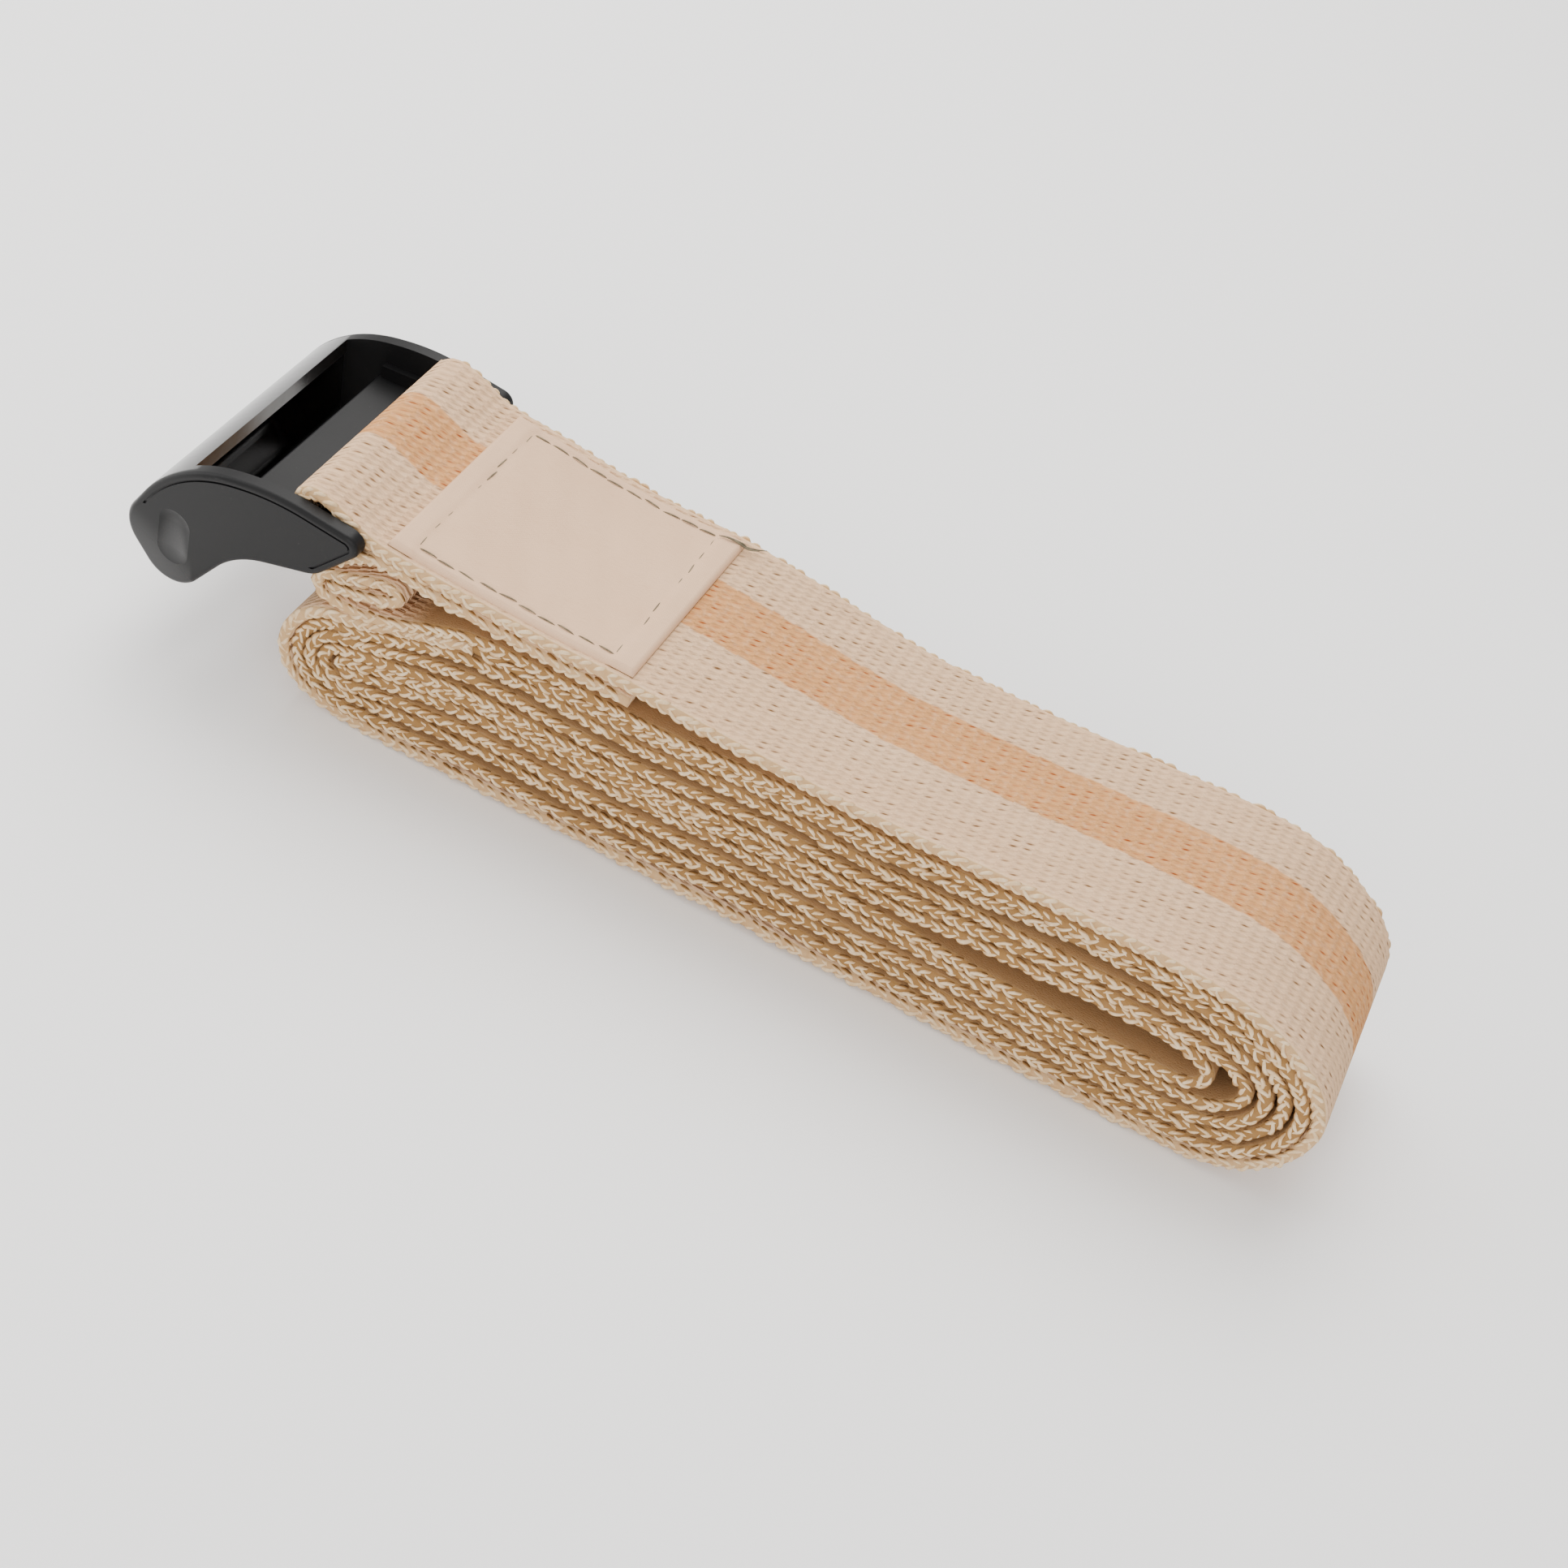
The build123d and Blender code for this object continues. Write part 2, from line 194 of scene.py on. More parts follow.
# How far each strand sits back from the near side at the same places.
SETBACKS = {
    1: [0.0, 0.2, 0.3, 0.3, 0.3, 0.2, 0.1], 2: [0.2, 0.9, 0.9, 0.6, 0.9, 0.9, 0.3],
    3: [0.1, 0.3, 0.3, 0.4, 0.2, 0.1, 0.2], 4: [0.2, -0.3, -0.4, -0.3, -0.1, 0.1, 0.0],
    5: [0.1, 0.0, 0.2, 0.2, 0.0, 0.2, 0.2], 6: [0.4, 0.8, 0.8, 0.5, 0.6, 0.3, 0.1],
    7: [0.4, 0.5, 0.7, 0.8, 0.6, 0.2, 0.0], 8: [0.2, -0.2, -0.2, -0.2, -0.2, 0.1, -0.1],
    9: [0.0, 0.1, 0.1, 0.0, 0.1, 0.0, 0.2], 10: [0.1, 0.0, 0.0, 0.1, 0.0, -0.1, 0.0],
    11: [0.2, 0.1, 0.2, 0.1, 0.1, 0.2, 0.2]}
RIGHT_TEMPLATE = [(0.0, 1.0), (0.27, 0.925), (0.516, 0.79), (0.74, 0.6), (0.91, 0.35), (0.99, 0.09),
                  (1.0, -0.09), (0.96, -0.347), (0.87, -0.575), (0.726, -0.778), (0.538, -0.916),
                  (0.27, -0.988), (0.0, -1.0)]
LEFT_TEMPLATE = [(0.0, -1.0), (0.264, -0.946), (0.529, -0.837), (0.758, -0.659), (0.916, -0.432),
                 (1.0, -0.126), (0.969, 0.19), (0.846, 0.506), (0.643, 0.773), (0.352, 0.95),
                 (0.0, 1.0)]
RIGHT_REACH = {0: 22.3, 1: 19.65, 2: 16.9, 3: 14.1, 4: 11.1, 5: 5.0}      # by upper strand
LEFT_REACH = {2: 11.35, 3: 8.95, 4: 6.55, 5: 4.2, 6: 1.5}
TOP_LINE = [(-36.0, 37.6, 0.075, -0.3), (-28.0, 37.0, 0.068, -0.2), (-20.0, 36.05, 0.058, -0.1),
            (-10.0, 34.9, 0.03, 0.0), (0.0, 34.2, 0.01, 0.0), (10.0, 34.2, 0.0, 0.0),
            (20.0, 34.4, -0.01, 0.0), (30.0, 34.9, -0.01, 0.0), (40.0, 35.3, 0.0, 0.0),
            (50.0, 35.5, 0.015, 0.0), (60.0, 35.1, 0.025, 0.0)]


def strand_row(strand, index):
    return (STATIONS[index], HEIGHTS[strand][index], 0.0, SETBACKS[strand][index])


def strand_points(strand, leftward):
    """Rows (x, z, side slope, sideways offset) along one strand between the two ends' turns."""
    order = range(len(STATIONS) - 2, 0, -1) if leftward else range(1, len(STATIONS) - 1)
    return [strand_row(strand, index) for index in order]


def turn_points(template, origin, reach, first, last, direction):
    """One end's turn, from row first to row last, by the template's outline."""
    (_, z0, slope0, back0), (_, z1, slope1, back1) = first, last
    middle, half = (z0 + z1) / 2, (z0 - z1) / 2
    sign = template[0][1]
    rows = []
    for index, (across, up) in enumerate(template):
        share = index / (len(template) - 1)
        rows.append((origin + direction * reach * across, middle + half * up * sign,
                     slope0 + (slope1 - slope0) * share, back0 + (back1 - back0) * share))
    return rows


def right_turn(upper, lower, downward):
    top = (60.0, 35.1, 0.03, 0.0) if upper == 0 else strand_row(upper, 6)
    bottom = strand_row(lower, 6)
    rows = turn_points(RIGHT_TEMPLATE, 60.0, RIGHT_REACH[upper], top, bottom, 1)
    return rows if downward else rows[::-1]


def left_turn(upper, lower, upward):
    rows = turn_points(LEFT_TEMPLATE, -80.0, LEFT_REACH[upper], strand_row(lower, 0),
                       strand_row(upper, 0), -1)
    return rows if upward else rows[::-1]


# Rows of x, z, side slope and sideways offset: the sewn loop, then the rolled hem.
LOOP = [(-33.2, 34.5, 0.072, -0.3), (-36.5, 34.8, 0.075, -0.3),
        (-45.0, 35.1, 0.078, -0.3), (-55.0, 35.6, 0.08, -0.3),
        (-66.0, 36.9, 0.095, -0.35), (-76.0, 37.9, 0.09, -0.4), (-80.0, 36.0, 0.078, -0.45),
        (-83.2, 33.7, 0.068, -0.45), (-86.4, 33.0, 0.066, -0.45), (-89.3, 34.6, 0.068, -0.45),
        (-90.4, 37.8, 0.072, -0.45), (-90.5, 40.7, 0.078, -0.45), (-89.6, 43.3, 0.082, -0.45),
        (-87.6, 44.6, 0.092, -0.45), (-85.0, 44.2, 0.1, -0.45), (-82.0, 42.9, 0.104, -0.4),
        (-79.0, 41.5, 0.1, -0.4), (-76.0, 40.7, 0.108, -0.35), (-66.0, 39.6, 0.104, -0.3),
        (-55.0, 38.1, 0.08, -0.3), (-45.0, 37.6, 0.078, -0.3)]
HEM = [(-66.0, 28.2, 0.01, 0.15), (-73.0, 25.4, 0.01, 0.1), (-79.0, 23.9, 0.01, 0.0),
       (-83.0, 24.0, 0.01, 0.0), (-85.6, 24.7, 0.01, 0.0), (-86.7, 26.5, 0.01, 0.0),
       (-85.7, 28.4, 0.01, 0.0), (-82.5, 29.4, 0.01, 0.0), (-78.0, 31.1, 0.01, 0.0),
       (-74.8, 32.0, 0.01, 0.0), (-73.0, 31.2, 0.01, 0.0), (-73.3, 29.6, 0.01, 0.0),
       (-75.8, 28.6, 0.01, 0.0), (-79.0, 27.6, 0.01, 0.0), (-84.6, 26.5, 0.01, 0.0)]


SQUARE_FROM, SQUARE_RUN = -60.0, 12.0        # the loop starts to square up here, over this run


def square_to_buckle(rows):
    """Moves the loop's rows sideways, so that its edges run square to the buckle's tilted bar."""
    bar_x, bar_y, bar_z = DRAWN_HINGE
    tilt_x, tilt_y, tilt_z = frame["joints"][0]["axis"]
    moved = []
    for x, z, slope, offset in rows:
        square = bar_y - (tilt_x * (x - bar_x) + tilt_z * (z - bar_z)) / tilt_y
        share = min(max((SQUARE_FROM - x) / SQUARE_RUN, 0.0), 1.0)
        moved.append((x, z, slope, offset + (square - offset) * share))
    return moved


def exposed_route():
    """From the turned-back end round the loop, along the top, round the right end, along the
    bottom and round the left end: the side that faces out is the same all the way."""
    rows = square_to_buckle(LOOP) + TOP_LINE[:-1] + right_turn(0, 11, True)
    rows += strand_points(11, True) + left_turn(2, 11, True) + [strand_row(2, 1)]
    return rows


def hidden_route():
    """The rest of the webbing inside the bundle, from strand 2 to the hem."""
    rows = strand_points(2, False)
    for upper, lower in ((2, 9), (4, 7)):
        rows += right_turn(upper, lower, True) + strand_points(lower, True)
        above = {9: 4, 7: 6}[lower]
        rows += left_turn(above, lower, True) + strand_points(above, False)
    rows += right_turn(5, 6, False)
    rows += strand_points(5, True) + left_turn(5, 8, False) + strand_points(8, False)
    rows += right_turn(3, 8, False) + strand_points(3, True) + left_turn(3, 10, False)
    rows += strand_points(10, False) + right_turn(1, 10, False) + strand_points(1, True)
    return rows + HEM


def smooth_noise(at, pitch, seed):
    """A smooth random wave of unit size along a length."""
    generator = np.random.default_rng(seed)
    knots = np.arange(at[0] - 2 * pitch, at[-1] + 3 * pitch, pitch)
    values = generator.uniform(-1, 1, len(knots))
    place = (at - knots[0]) / pitch
    index = np.clip(place.astype(int), 0, len(knots) - 2)
    share = place - index
    share = share * share * (3 - 2 * share)
    return values[index] * (1 - share) + values[index + 1] * share


class Ribbon:
    """The webbing's middle surface along a route: place, direction and side slope by length."""

    def __init__(self, rows, start, step, seed, straight):
        """straight is the range of lengths where the webbing doesn't wander sideways."""
        curve = catmull(rows)
        self.rows, self.at = resample(curve, step)
        tangent = np.gradient(self.rows[:, :2], axis=0)
        tangent /= np.linalg.norm(tangent, axis=1, keepdims=True)
        self.tangent = tangent
        self.outward = np.stack([-tangent[:, 1], tangent[:, 0]], 1)
        self.length = self.at[-1]
        self.start = start
        slow, quick = smooth_noise(self.at, 17.0, seed), smooth_noise(self.at, 5.0, seed + 1)
        beyond = np.maximum(straight[0] - self.at, self.at - straight[1])
        self.wobble = (0.22 * slow + 0.1 * quick) * np.clip(beyond / 8.0, 0, 1)

    def sample(self, at, values):
        return np.interp(at, self.at, values)

    def place(self, at, across, height):
        """Points at a length, an offset across the webbing, and a height off its middle."""
        x = self.sample(at, self.rows[:, 0])
        z = self.sample(at, self.rows[:, 1])
        slope = self.sample(at, self.rows[:, 2])
        offset = self.sample(at, self.rows[:, 3]) + self.sample(at, self.wobble)
        out_x, out_z = self.sample(at, self.outward[:, 0]), self.sample(at, self.outward[:, 1])
        skew = 0.48 * slope
        return np.stack([x + out_x * height + skew * across, offset + across,
                         z + out_z * height + slope * across], -1)


def weave_relief(at, across):
    """Height of the woven face: a rib each stitch, leaning one way and then the other."""
    lean = 0.18 * np.sin(2 * np.pi * across / 2.4)
    return RELIEF * np.cos(2 * np.pi * (at / STITCH + lean))


def webbing_skin(ribbon, out_count, in_count, fine):
    """The closed skin of the webbing: outer face, near edge, inner face and far edge."""
    half = THICKNESS / 2
    edge_turns = np.linspace(0, np.pi, 7)[1:-1]
    outer = [(v, half) for v in np.linspace(-FACE_HALF, FACE_HALF, out_count)]
    far = [(FACE_HALF + EDGE_ROUND * math.sin(t), half * math.cos(t)) for t in edge_turns]
    inner = [(v, -half) for v in np.linspace(FACE_HALF, -FACE_HALF, in_count)]
    near = [(-FACE_HALF - EDGE_ROUND * math.sin(t), -half * math.cos(t)) for t in edge_turns]
    profile = np.array(outer + far + inner + near)
    at = ribbon.at
    grid_at = np.repeat(at, len(profile))
    across = np.tile(profile[:, 0], len(at))
    height = np.tile(profile[:, 1], len(at))
    relief = weave_relief(grid_at + ribbon.start, across) if fine else 0.0
    face = np.clip((FACE_HALF + 0.5 - np.abs(across)) / 1.5, 0, 1)
    height = height + np.sign(height) * relief * face
    points = ribbon.place(grid_at, across, height)
    quads = grid_faces(len(at), len(profile))
    caps = [list(range(len(profile)))[::-1],
            [(len(at) - 1) * len(profile) + k for k in range(len(profile))]]
    # Painted shade over the rounded edges: 0 on the flat face, 1 once round the edge; past 0.5 it
    # also counts as edge.
    shade_depth = np.clip((np.abs(across) - FACE_HALF) / 0.4, 0, 1)
    return points, quads, caps, grid_at + ribbon.start, across, shade_depth


def edge_chain(ribbon, side, seed, outer_face_shows):
    """The knitted edge: a chain of slanting loops, two legs to a stitch.

    Depth is 0 on the outermost yarn, 1 where yarn meets webbing, and more in the crevices between
    neighbouring layers: it sets the painted shade on the edge, brown where yarn meets webbing, dark
    brown in the crevices."""
    generator = np.random.default_rng(seed)
    count = int(ribbon.length / STITCH)
    sides, rings = 6, 7
    share = np.linspace(0, 1, rings)
    turn = np.arange(sides) * 2 * np.pi / sides
    vertices, quads, caps, along, over, deep = [], [], [], [], [], []
    # Painted shade round each loop: 0 on its outer side, 1 on the side against the webbing, more at
    # its ends.
    end_depth = 0.45 * np.abs(2 * share - 1) ** 3
    ring_depth = end_depth[:, None] + 0.5 - 0.5 * np.cos(turn)
    for k in range(count):
        for leg in (1, -1):
            jitter = generator.uniform(-1, 1, 6)
            begin = k * STITCH + (0.0 if leg > 0 else 0.9) + 0.32 * jitter[0]
            reach = STITCH * (1.42 + 0.16 * jitter[1])
            at = np.clip(begin + reach * share, 0.05, ribbon.length - 0.05)
            climb = np.sin(share * np.pi * 0.62) ** 1.3
            rise = leg * (-0.5 + 1.3 * climb) + 0.2 * jitter[2]
            bulge = 0.42 * np.sin(np.pi * share) ** 0.7 + 0.2 * jitter[3]
            radius = (0.38 + 0.07 * jitter[4]) * (0.5 + 0.5 * np.sin(np.pi * share) ** 0.5)
            across = side * (HALF_WIDTH - 0.55 + bulge)
            ring_at = at[:, None] - 0.25 * radius[:, None] * np.cos(turn) * leg
            ring_across = across[:, None] + side * radius[:, None] * np.cos(turn) * 0.8
            ring_across = np.clip(ring_across, -EDGE_REACH, EDGE_REACH)
            ring_height = rise[:, None] + radius[:, None] * np.sin(turn) * 1.05
            ring_at = np.clip(ring_at, 0.02, ribbon.length - 0.02)
            points = ribbon.place(ring_at.ravel(), ring_across.ravel(), ring_height.ravel())
            start = len(vertices) * rings * sides
            vertices.append(points)
            quads.append(grid_faces(rings, sides, start=start))
            caps.append([start + s for s in range(sides)][::-1])
            caps.append([start + (rings - 1) * sides + s for s in range(sides)])
            along.append(ring_at.ravel() + ribbon.start)
            over.append(ring_across.ravel())
            # Painted shade, much darker where the loop reaches towards the neighbouring layer.
            crevice = np.abs(ring_height) if not outer_face_shows else -ring_height
            deep.append((ring_depth + 2.0 * np.clip((crevice - 0.7) / 0.4, 0, 1)).ravel())
    along, over, deep = (np.concatenate(values) for values in (along, over, deep))
    return np.vstack(vertices), np.vstack(quads), caps, along, over, deep


def build_webbing():
    exposed = Ribbon(exposed_route(), 0.0, 0.42, 3, straight=(0.0, LOOP_LENGTH))
    hidden = Ribbon(hidden_route(), exposed.length, 1.0, 11, straight=(1480.0, 2000.0))
    vertices, quads, caps, along, over, edge, shade_depth, inside = [], [], [], [], [], [], [], []
    total = 0
    hem_start = exposed.length + hidden.length - HEM_LENGTH
    for ribbon, counts, fine in ((exposed, (64, 16), True), (hidden, (12, 12), False)):
        pieces = [(webbing_skin(ribbon, *counts, fine), 0.0)]
        pieces += [(edge_chain(ribbon, side, 20 + side, fine), 1.0) for side in (-1, 1)]
        for (points, faces, ends, at, across, deep), is_edge in pieces:
            vertices.append(points)
            quads.append(faces + total)
            caps += [[index + total for index in cap] for cap in ends]
            along.append(at)
            over.append(across)
            edge.append(np.maximum(is_edge, deep > 0.5))
            shade_depth.append(deep)
            # Painted shade on the hidden webbing's skin deep in the bundle, fading out before the
            # hem.
            shade_inside = 0.0 if fine or is_edge else 1.0
            inside.append(shade_inside * np.clip((hem_start - at) / 6.0, 0, 1))
            total += len(points)
    print("webbing length", round(exposed.length + hidden.length, 1), "faces", sum(map(len, quads)))
    attributes = {"along": np.concatenate(along), "across": np.concatenate(over),
                  "edge": np.concatenate(edge), "shade_depth": np.concatenate(shade_depth),
                  "inside": np.concatenate(inside)}
    obj = build_object("strap_webbing", np.vstack(vertices), np.vstack(quads), caps, attributes)
    return obj, exposed


# ---- materials ---------------------------------------------------------------------------------
class Nodes:
    """Short ways to add nodes to one material."""

    def __init__(self, name):
        self.material = bpy.data.materials.new(name)
        self.material.use_nodes = True
        self.tree = self.material.node_tree
        self.shader = self.tree.nodes["Principled BSDF"]

    def link(self, source, target):
        if isinstance(source, (int, float, tuple)):
            target.default_value = source
        else:
            self.tree.links.new(source, target)

    def math(self, operation, *values):
        node = self.tree.nodes.new("ShaderNodeMath")
        node.operation = operation
        for socket, value in zip(node.inputs, values):
            self.link(value, socket)
        return node.outputs[0]

    def times(self, first, second):
        return self.math("MULTIPLY", first, second)

    def attribute(self, name):
        node = self.tree.nodes.new("ShaderNodeAttribute")
        node.attribute_name = name
        return node.outputs["Fac"]

    def combine(self, x, y, z=0.0):
        node = self.tree.nodes.new("ShaderNodeCombineXYZ")
        for socket, value in zip(node.inputs, (x, y, z)):
            self.link(value, socket)
        return node.outputs[0]

    def noise(self, vector, scale, detail=2.0, roughness=0.5):
        node = self.tree.nodes.new("ShaderNodeTexNoise")
        node.inputs["Scale"].default_value = scale
        node.inputs["Detail"].default_value = detail
        node.inputs["Roughness"].default_value = roughness
        self.tree.links.new(vector, node.inputs["Vector"])
        return node.outputs["Fac"]

    def cloth_noise(self, along, across, along_rate, across_rate, detail=2.0):
        """Noise over the cloth's own length and width, with a rate per millimetre for each."""
        place = self.combine(self.times(along, along_rate), self.times(across, across_rate))
        return self.noise(place, 1.0, detail)

    def random(self, vector):
        node = self.tree.nodes.new("ShaderNodeTexWhiteNoise")
        node.noise_dimensions = "3D"
        self.tree.links.new(vector, node.inputs["Vector"])
        return node.outputs["Value"]

    def mix(self, share, first, second):
        node = self.tree.nodes.new("ShaderNodeMix")
        node.data_type = "RGBA"
        self.link(share, node.inputs[0])
        self.link(first, node.inputs[6])
        self.link(second, node.inputs[7])
        return node.outputs[2]

    def step(self, value, low, high):
        """0 below low, 1 above high, smooth between."""
        node = self.tree.nodes.new("ShaderNodeMapRange")
        node.interpolation_type = "SMOOTHSTEP"
        self.link(value, node.inputs["Value"])
        node.inputs["From Min"].default_value = low
        node.inputs["From Max"].default_value = high
        return node.outputs["Result"]

    def bump(self, height, distance, strength):
        node = self.tree.nodes.new("ShaderNodeBump")
        node.inputs["Distance"].default_value = distance
        node.inputs["Strength"].default_value = strength
        self.tree.links.new(height, node.inputs["Height"])
        return node.outputs["Normal"]

    def place(self):
        return self.tree.nodes.new("ShaderNodeTexCoord").outputs["Object"]


def rgb(red, green, blue):
    """A colour given as display values from 0 to 255."""
    def linear(value):
        value = value / 255
        return value / 12.92 if value <= 0.04045 else ((value + 0.055) / 1.055) ** 2.4
    return (linear(red), linear(green), linear(blue), 1.0)


def webbing_material():
    n = Nodes("cotton_webbing")
    along, across, edge = n.attribute("along"), n.attribute("across"), n.attribute("edge")
    column_place = n.math("DIVIDE", along, STITCH)
    column = n.math("FLOOR", column_place)
    in_column = n.math("SUBTRACT", n.math("SUBTRACT", column_place, column), 0.5)
    stagger = n.times(n.math("MODULO", column, 2.0), 0.5)
    drift = n.cloth_noise(along, across, 0.12, 0.25)
    row_place = n.math("ADD", n.math("DIVIDE", across, 1.2),
                       n.math("ADD", stagger, n.times(drift, 1.2)))
    row_place = n.math("SUBTRACT", row_place, n.times(in_column, 0.45))
    row = n.math("FLOOR", row_place)
    in_row = n.math("SUBTRACT", n.math("SUBTRACT", row_place, row), 0.5)
    wide = n.math("DIVIDE", in_column, 0.46)
    tall = n.math("DIVIDE", in_row, 0.22)
    wide_squared, tall_squared = n.times(wide, wide), n.times(tall, tall)
    reach = n.math("SQRT", n.math("ADD", wide_squared, tall_squared))
    # Painted shade in the weave's holes: each hole darkens the cloth by a random amount.
    hole = n.math("SUBTRACT", 1.0, n.step(reach, 0.1, 1.15))
    luck = n.random(n.combine(column, row, 1.0))
    chance = n.times(n.math("POWER", luck, 2.0), 0.75)
    strength = n.times(hole, n.math("ADD", 0.3, chance))
    face = n.math("SUBTRACT", 1.0, n.step(n.math("ABSOLUTE", across), 17.6, 18.6))
    face = n.times(face, n.math("SUBTRACT", 1.0, edge))
    strength = n.times(strength, face)
    scallop = n.noise(n.combine(n.times(column, 0.61), 3.0), 1.0, 1.0)
    sway = n.times(n.math("SUBTRACT", scallop, 0.5), 1.1)
    moved = n.math("ADD", across, sway)
    stripe = n.times(n.step(moved, -3.8, -3.4),
                    n.math("SUBTRACT", 1.0, n.step(moved, 7.9, 8.3)))
    patch = n.cloth_noise(along, across, 0.03, 0.08, 3.0)
    cream = n.mix(patch, rgb(230, 192, 154), rgb(219, 179, 140))
    peach = n.mix(patch, rgb(217, 160, 106), rgb(203, 145, 92))
    base = n.mix(stripe, cream, peach)
    # Painted shade colours for the weave's holes, browner in the peach stripe.
    dark = n.mix(stripe, rgb(104, 72, 44), rgb(140, 62, 22))
    fleck = n.cloth_noise(along, across, 0.9, 0.9, 3.0)
    base = n.mix(n.times(n.step(fleck, 0.45, 0.75), 0.25), base, rgb(238, 208, 174))
    loops = n.noise(n.combine(along, across), 0.9, 3.0)
    edge_tone = n.mix(n.step(loops, 0.3, 0.7), rgb(215, 183, 140), rgb(231, 206, 169))
    # Painted shade on the edges: brown where the loops meet the webbing, dark brown in the crevices
    # between layers.
    deep = n.math("ADD", n.attribute("shade_depth"), n.times(n.math("SUBTRACT", loops, 0.5), 0.5))
    edge_tone = n.mix(n.times(n.step(deep, 0.3, 1.0), 0.65), edge_tone, rgb(176, 133, 84))
    edge_tone = n.mix(n.times(n.step(deep, 1.2, 2.2), 0.85), edge_tone, rgb(120, 82, 38))
    base = n.mix(edge, base, edge_tone)
    # Painted shade on the hidden webbing inside the bundle, which also drops the weave's marks
    # there.
    inside = n.attribute("inside")
    base = n.mix(n.times(inside, 0.75), base, rgb(128, 90, 42))
    face = n.times(face, n.math("SUBTRACT", 1.0, inside))
    strength = n.times(strength, n.math("SUBTRACT", 1.0, inside))
    # Lays the painted shade of the weave's holes over the cloth's colour.
    n.link(n.mix(strength, base, dark), n.shader.inputs["Base Color"])
    yarn = n.math("COSINE", n.times(n.math("ADD", in_row, n.times(in_column, 0.2)), 2 * math.pi))
    rib = n.math("COSINE", n.times(in_column, 2 * math.pi))
    relief = n.math("ADD", n.times(yarn, 0.7), n.times(rib, 0.3))
    relief = n.times(relief, face)
    relief = n.math("SUBTRACT", relief, n.times(strength, 0.9))
    fuzz = n.noise(n.place(), 2600.0, 3.0, 0.7)
    twist = n.cloth_noise(along, across, 2.2, 5.0)
    relief = n.math("ADD", relief, n.math("ADD", n.times(fuzz, 0.35), n.times(twist, 0.5)))
    n.link(n.bump(relief, 0.00026, 1.0), n.shader.inputs["Normal"])
    n.shader.inputs["Roughness"].default_value = 0.93
    n.shader.inputs["Specular IOR Level"].default_value = 0.06
    return n.material


SHELL_EDGE = -0.0895                         # the polished front lies before this x, in metres
SHELL_BLEND = 0.0004


def plastic_material():
    """Moulded plastic: satin cheeks and bars, and a polished front shell."""
    n = Nodes("charcoal_plastic")
    place = n.place()
    split = n.tree.nodes.new("ShaderNodeSeparateXYZ")
    n.link(place, split.inputs[0])
    behind = n.step(split.outputs[0], SHELL_EDGE - SHELL_BLEND, SHELL_EDGE + SHELL_BLEND)
    front = n.math("SUBTRACT", 1.0, behind)
    inside = n.math("SUBTRACT", 1.0, n.step(n.math("ABSOLUTE", split.outputs[1]), 0.0206, 0.0212))
    shell = n.times(front, inside)
    grain = n.noise(place, 5200.0, 2.0, 0.6)
    cloud = n.noise(place, 60.0, 3.0)
    satin = n.mix(n.step(cloud, 0.3, 0.7), rgb(15, 15, 16), rgb(21, 21, 22))
    streak = n.noise(n.combine(n.times(split.outputs[1], 900.0),
                               n.times(split.outputs[2], 40.0)), 1.0, 2.0)
    polished = n.mix(n.step(streak, 0.35, 0.7), rgb(8, 8, 9), rgb(20, 20, 22))
    dust = n.step(n.noise(place, 1500.0, 3.0, 0.75), 0.66, 0.78)
    tone = n.mix(n.times(dust, 0.10), n.mix(shell, satin, polished), rgb(150, 145, 140))
    n.link(tone, n.shader.inputs["Base Color"])
    dull = n.math("ADD", 0.36, n.times(cloud, 0.2))
    clear = n.math("ADD", 0.10, n.times(streak, 0.12))
    keep = n.times(dull, n.math("SUBTRACT", 1.0, shell))
    n.link(n.math("ADD", keep, n.times(clear, shell)), n.shader.inputs["Roughness"])
    n.link(n.bump(n.math("ADD", grain, n.times(streak, 0.4)), 0.00004, 0.3),
           n.shader.inputs["Normal"])
    n.link(n.math("ADD", 0.2, n.times(shell, 0.25)), n.shader.inputs["Specular IOR Level"])
    return n.material


def label_material():
    n = Nodes("label_canvas")
    along, across = n.attribute("along"), n.attribute("across")
    warp = n.math("SINE", n.times(along, 2 * math.pi / 0.42))
    weft = n.math("SINE", n.times(across, 2 * math.pi / 0.38))
    weave = n.times(warp, weft)
    cloud = n.cloth_noise(along, across, 0.09, 0.12, 3.0)
    slub = n.cloth_noise(along, across, 0.5, 6.0)
    tone = n.mix(cloud, rgb(226, 189, 156), rgb(216, 177, 143))
    tone = n.mix(n.times(n.step(slub, 0.45, 0.8), 0.3), tone, rgb(202, 162, 126))
    tone = n.mix(n.step(n.attribute("rim"), 0.15, 0.7), tone, rgb(96, 72, 40))
    n.link(tone, n.shader.inputs["Base Color"])
    relief = n.math("ADD", n.times(weave, 0.5), n.times(slub, 0.8))
    n.link(n.bump(relief, 0.00006, 0.6), n.shader.inputs["Normal"])
    n.shader.inputs["Roughness"].default_value = 0.88
    n.shader.inputs["Specular IOR Level"].default_value = 0.08
    return n.material


def thread_material(name, light, dark):
    n = Nodes(name)
    place = n.place()
    tone = n.mix(n.step(n.noise(place, 900.0, 2.0), 0.35, 0.65), light, dark)
    n.link(tone, n.shader.inputs["Base Color"])
    n.link(n.bump(n.noise(place, 4200.0, 2.0), 0.00008, 0.6), n.shader.inputs["Normal"])
    n.shader.inputs["Roughness"].default_value = 0.75
    n.shader.inputs["Sheen Weight"].default_value = 0.2
    return n.material


